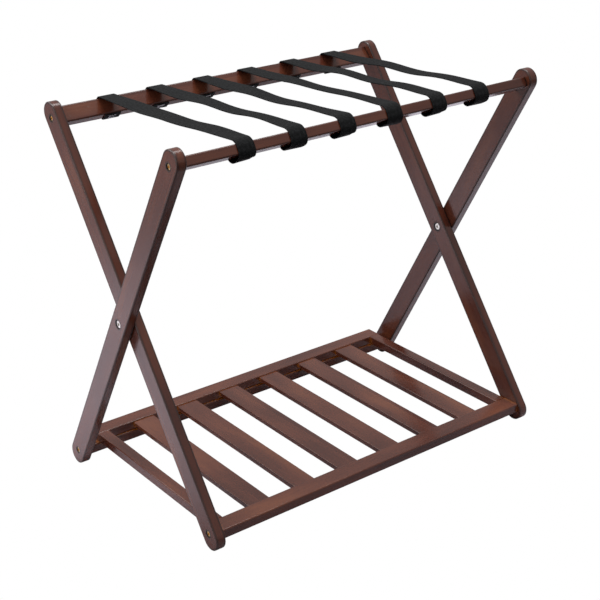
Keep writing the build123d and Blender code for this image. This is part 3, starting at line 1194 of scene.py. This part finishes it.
@dataclass
class WireStaples:
    """Two leaning staples over each strap end, with rounded shoulders."""

    crown: float = 12.0 * MM
    wire_wide: float = 1.2 * MM
    wire_thick: float = 0.7 * MM
    leg: float = 6.0 * MM
    spread: float = 2.6 * MM
    tilt: float = 9.0  # degrees that a pair's crowns slant, one each way
    over_cloth: float = 2.15 * MM
    shoulder: float = 0.9 * MM
    steps: int = 4
    softening: float = 0.2 * MM  # rounding of the wire's corners

    def shape(self) -> bmesh.types.BMesh:
        """One staple, X along its crown and Z out of the wood.

        Returns:
            The new mesh.
        """
        bm = bmesh.new()
        half = self.crown / 2 - self.wire_thick / 2
        top = self.over_cloth + self.wire_thick / 2
        face = bmesh.ops.create_grid(bm, x_segments=1, y_segments=1, size=0.5)["verts"]
        bmesh.ops.scale(bm, vec=(self.wire_thick, self.wire_wide, 1.0), verts=face)
        bmesh.ops.translate(bm, vec=(-half, 0.0, -self.leg), verts=face)
        geom: list[object] = [face[0].link_faces[0]]
        geom = self._straight(bm, geom, Vector((0, 0, top + self.leg - self.shoulder)))
        geom = self._bend(bm, geom, Vector((self.shoulder - half, 0, top - self.shoulder)))
        geom = self._straight(bm, geom, Vector((2 * (half - self.shoulder), 0, 0)))
        geom = self._bend(bm, geom, Vector((half - self.shoulder, 0, top - self.shoulder)))
        self._straight(bm, geom, Vector((0, 0, self.shoulder - top - self.leg)))
        return bm

    @staticmethod
    def _straight(bm: bmesh.types.BMesh, geom: list[object], way: Vector) -> list[object]:
        """Extrude the wire's end face straight.

        Args:
            bm: the mesh.
            geom: the end face.
            way: how far it goes.

        Returns:
            The new end face.
        """
        made = bmesh.ops.extrude_face_region(bm, geom=geom)["geom"]
        verts = [e for e in made if isinstance(e, bmesh.types.BMVert)]
        bmesh.ops.translate(bm, vec=way, verts=verts)
        return [e for e in made if isinstance(e, bmesh.types.BMFace)]

    def _bend(self, bm: bmesh.types.BMesh, geom: list[object], centre: Vector) -> list[object]:
        """Turn the wire's end face a quarter round a point.

        Args:
            bm: the mesh.
            geom: the end face.
            centre: middle of the bend.

        Returns:
            The new end face.
        """
        turn = Matrix.Rotation(radians(90.0 / self.steps), 3, "Y")
        for _ in range(self.steps):
            made = bmesh.ops.extrude_face_region(bm, geom=geom)["geom"]
            verts = [e for e in made if isinstance(e, bmesh.types.BMVert)]
            bmesh.ops.rotate(bm, cent=centre, matrix=turn, verts=verts)
            geom = [e for e in made if isinstance(e, bmesh.types.BMFace)]
        return geom

    def _row(
        self, name: str, node: str, rail: RailSection, towards: int, body: str, count: int
    ) -> None:
        """Make all staples of one rail.

        Args:
            name: the piece's name.
            node: the node that it stands for.
            rail: the rail's section.
            towards: +1 or -1, which narrow side they sit on.
            body: the body that it rides on.
            count: how many straps they hold.
        """
        angle = radians(rail.rise)
        out = Vector((0, cos(angle), sin(angle))) * towards
        right = Vector((1, 0, 0))
        along = out.cross(right)
        spot = rail.point(towards * rail.wide / 2, 0)
        places = []
        for number in range(1, count + 1):
            low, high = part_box(f"strap_{number}")
            origin = Vector(((low.x + high.x) / 2, spot.x, spot.y))
            plane = Matrix.Translation(origin) @ Matrix((right, along, out)).transposed().to_4x4()
            for side in (-1, 1):
                shift = Matrix.Translation((0, side * self.spread, 0))
                lean = Matrix.Rotation(radians(side * self.tilt), 4, "Z")
                places.append(plane @ shift @ lean)
        piece = finish_mesh(repeat(self.shape(), places), name)
        edge = piece.modifiers.new("wire", "BEVEL")
        edge.width = self.softening
        edge.segments = 2
        edge.limit_method = "ANGLE"
        edge.angle_limit = radians(50.0)
        dress(piece, STEEL.dress(f"{name}_wire"))
        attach(piece, body)
        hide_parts(node)
        LOG.info("built %s", name)

    def build(self, straps: WebbingStraps) -> None:
        """Make the staples of both rails.

        Args:
            straps: the straps that they hold.
        """
        count = len(straps.lays)
        self._row(
            "front_staples", "front_strap_staples", straps.front, 1, "outer_frame", count
        )
        self._row("back_staples", "back_strap_staples", straps.back, -1, "inner_frame", count)


# ---------------------------------------------------------------- studio


def stage_grid(name: str, reach: float) -> bpy.types.Object:
    """A flat square on the floor, which is no part of the object.

    Args:
        name: its name.
        reach: half its width in metres.

    Returns:
        The new object.
    """
    bm = bmesh.new()
    bmesh.ops.create_grid(bm, x_segments=1, y_segments=1, size=reach)
    return finish_mesh(bm, name)


@dataclass(frozen=True)
class Softbox:
    """A square soft light."""

    name: str
    at: Colour
    aim: Colour
    side: float  # metres
    watts: float

    def build(self) -> None:
        """Put the light up, facing what it aims at."""
        data = bpy.data.lights.new(self.name, "AREA")
        data.shape = "RECTANGLE"
        data.size = data.size_y = self.side
        data.energy = self.watts
        lamp = bpy.data.objects.new(self.name, data)
        lamp.location = self.at
        facing = Vector(self.aim) - Vector(self.at)
        lamp.rotation_euler = facing.to_track_quat("-Z", "Y").to_euler()
        lamp.visible_camera = False
        bpy.context.scene.collection.objects.link(lamp)


@dataclass
class LightTable:
    """The floor that lights the rack and that the camera doesn't see.

    A bright pool of light is painted on it under and behind the rack, with painted shade in
    three places and dimmer floor beyond. Places are in metres from the origin, and each pair of
    ends runs from no shade to full shade.
    """

    reach: float = 30.0
    light_pool_at: tuple[float, float] = (0.3, 0.32)
    light_pool_long: float = 0.61  # how much further it goes along X than along Y
    # the painted pool of light: its ramp stop and colour
    light_pool: tuple[float, Colour] = (0.36, (0.61, 0.575, 0.65))
    # the dim floor beyond the pool of light
    boards: tuple[float, Colour] = (0.85, (0.3, 0.285, 0.31))
    # colour of the painted shade
    dark: Colour = (0.03, 0.03, 0.03)
    # Painted shade: a band down the middle under the rack, the rack's shadow behind it on the
    # right, and shade along the front.
    band_at: float = 0.1
    band_ends: tuple[float, float] = (0.55, 0.25)
    band_shade: float = 0.4
    patch_at: tuple[float, float] = (0.47, 0.45)
    patch_ends: tuple[float, float] = (0.3, 0.16)
    patch_shade: float = 0.6
    front_slant: float = 0.5
    front_ends: tuple[float, float] = (-0.2, -0.5)
    front_shade: float = 0.8

    def build(self) -> None:
        """Lay the table."""
        tree = NodeTree("painted_light_pool_on_dim_floor")
        x, y = tree.split(tree.place())
        # Paint a pool of light on the floor, bright under and behind the rack and dim beyond.
        across = tree.math("SUBTRACT", tree.away(x, self.light_pool_at[0]), self.light_pool_long)
        reach = tree.math("MAXIMUM", across, tree.away(y, self.light_pool_at[1]))
        colour = tree.ramp(reach, [self.light_pool, self.boards])
        band = tree.away(x, self.band_at)
        patch = tree.math("MAXIMUM", tree.away(x, self.patch_at[0]), tree.away(y, self.patch_at[1]))
        front = tree.math("ADD", y, tree.math("MULTIPLY", x, self.front_slant))
        # Paint the three patches of shade over the pool of light.
        for place, ends, shade in (
            (band, self.band_ends, self.band_shade),
            (patch, self.patch_ends, self.patch_shade),
            (front, self.front_ends, self.front_shade),
        ):
            colour = tree.blend(tree.remap(place, *ends, (0.0, shade)), colour, self.dark)
        tree.join(colour, tree.shader.inputs["Base Color"])
        tree.constants(Roughness=0.9)
        table = stage_grid("studio_light_table", self.reach)
        dress(table, tree.material)
        table.visible_camera = False
        table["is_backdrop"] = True


@dataclass
class Studio:
    """A white surround that only the camera sees, soft lights and the camera."""

    camera_at: Colour = (-1.15098, -1.58222, 1.01535)
    azimuth: float = 37.23  # degrees, as are the elevation and the roll
    elevation: float = 19.19
    roll: float = -2.46
    focal: float = 80.9016  # millimetres, on a sensor 36 mm wide
    shift: tuple[float, float] = (-0.0400, -0.0987)
    surround: float = 30.0  # metres from the middle to the backdrop
    ceiling_towards: Colour = (0.15, 0.05, 0.987)
    ceiling_strength: float = 2.8
    ceiling_spread: float = 36.0  # degrees, which softens the shadows
    horizon: tuple[float, Colour] = (0.33, (0.45, 0.45, 0.46))
    zenith: tuple[float, Colour] = (0.7, (0.6, 0.6, 0.6))
    softboxes: Sequence[Softbox] = (
        Softbox("left_side", (-1.4, -0.1, 0.8), (-0.3, 0.05, 0.25), 1.1, 7.0),
        Softbox("left_rear", (-0.9, 0.8, 1.3), (-0.05, 0.1, 0.2), 1.0, 12.0),
        Softbox("high_right", (0.84, 0.21, 2.19), (-0.3, -0.1, 0.57), 0.34, 3.6),
    )

    @staticmethod
    def _white(piece: bpy.types.Object) -> None:
        """Make a stage piece evenly white to the eye, with no part in the lighting.

        Args:
            piece: the stage piece.
        """
        tree = NodeTree("even_white")
        tree.constants(Base_Color=(0.0, 0.0, 0.0), Emission_Color=(1.0, 1.0, 1.0))
        tree.constants(Emission_Strength=1.0, Specular_IOR_Level=0.0)
        dress(piece, tree.material)
        piece.visible_diffuse = piece.visible_glossy = piece.visible_transmission = False
        piece.visible_shadow = False
        piece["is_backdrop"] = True

    def _surround(self) -> None:
        """A plain white floor and backdrop."""
        self._white(stage_grid("studio_floor", self.surround))
        bm = bmesh.new()
        bmesh.ops.create_icosphere(bm, subdivisions=4, radius=self.surround)
        bmesh.ops.reverse_faces(bm, faces=bm.faces)
        self._white(finish_mesh(bm, "studio_backdrop"))

    def _ceiling(self) -> None:
        """Even light from a wide patch of the ceiling."""
        data = bpy.data.lights.new("ceiling", "SUN")
        data.energy = self.ceiling_strength
        data.angle = radians(self.ceiling_spread)
        lamp = bpy.data.objects.new("ceiling", data)
        lamp.rotation_euler = Vector(self.ceiling_towards).to_track_quat("Z", "Y").to_euler()
        bpy.context.scene.collection.objects.link(lamp)

    def _world(self) -> None:
        """Soft light from all round, dimmer near the horizon."""
        world = bpy.data.worlds.new("studio")
        bpy.context.scene.world = world
        world.use_nodes = True
        nodes, links = world.node_tree.nodes, world.node_tree.links
        coordinates = nodes.new("ShaderNodeTexCoord")
        split = nodes.new("ShaderNodeSeparateXYZ")
        ramp = nodes.new("ShaderNodeValToRGB")
        stops = (self.horizon, self.zenith)
        for element, (position, colour) in zip(ramp.color_ramp.elements, stops, strict=True):
            element.position = position
            element.color = (*colour, 1.0)
        links.new(coordinates.outputs["Generated"], split.inputs[0])
        links.new(split.outputs["Z"], ramp.inputs["Fac"])
        links.new(ramp.outputs["Color"], nodes["Background"].inputs["Color"])
        nodes["Background"].inputs["Strength"].default_value = 1.0

    def _camera(self) -> None:
        """The camera, turned by its azimuth, elevation and roll."""
        around, above, lean = radians(self.azimuth), radians(self.elevation), radians(self.roll)
        ahead = Vector((sin(around) * cos(above), cos(around) * cos(above), -sin(above)))
        right = ahead.cross(Vector((0, 0, 1))).normalized()
        up = right.cross(ahead)
        side = right * cos(lean) + up * sin(lean)
        top = up * cos(lean) - right * sin(lean)
        data = bpy.data.cameras.new("view")
        data.lens = self.focal
        data.shift_x, data.shift_y = self.shift
        camera = bpy.data.objects.new("view", data)
        turn = Matrix((side, top, -ahead)).transposed().to_4x4()
        camera.matrix_world = Matrix.Translation(self.camera_at) @ turn
        bpy.context.scene.collection.objects.link(camera)
        bpy.context.scene.camera = camera

    def build(self) -> None:
        """Set up the floor, the lights and the camera."""
        self._surround()
        LightTable().build()
        self._world()
        self._ceiling()
        for softbox in self.softboxes:
            softbox.build()
        self._camera()
        bpy.context.scene.view_settings.view_transform = "Standard"
        LOG.info("set up the studio")


# ---------------------------------------------------------------- the whole scene


def corners() -> list[list[float]]:
    """The shown object's box as plain lists."""
    return [list(corner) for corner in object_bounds()]


def main() -> None:
    """Load the frame, dress it, add the soft goods and hardware, and set up the studio."""
    logging.basicConfig(level=logging.INFO, format="%(message)s")
    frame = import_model()
    Studio().build()
    WoodenBoards().build(frame["nodes"])
    RackHardware().build(frame["nodes"])
    straps = WebbingStraps()
    straps.build()
    WireStaples().build(straps)


if __name__ == "__main__":
    main()
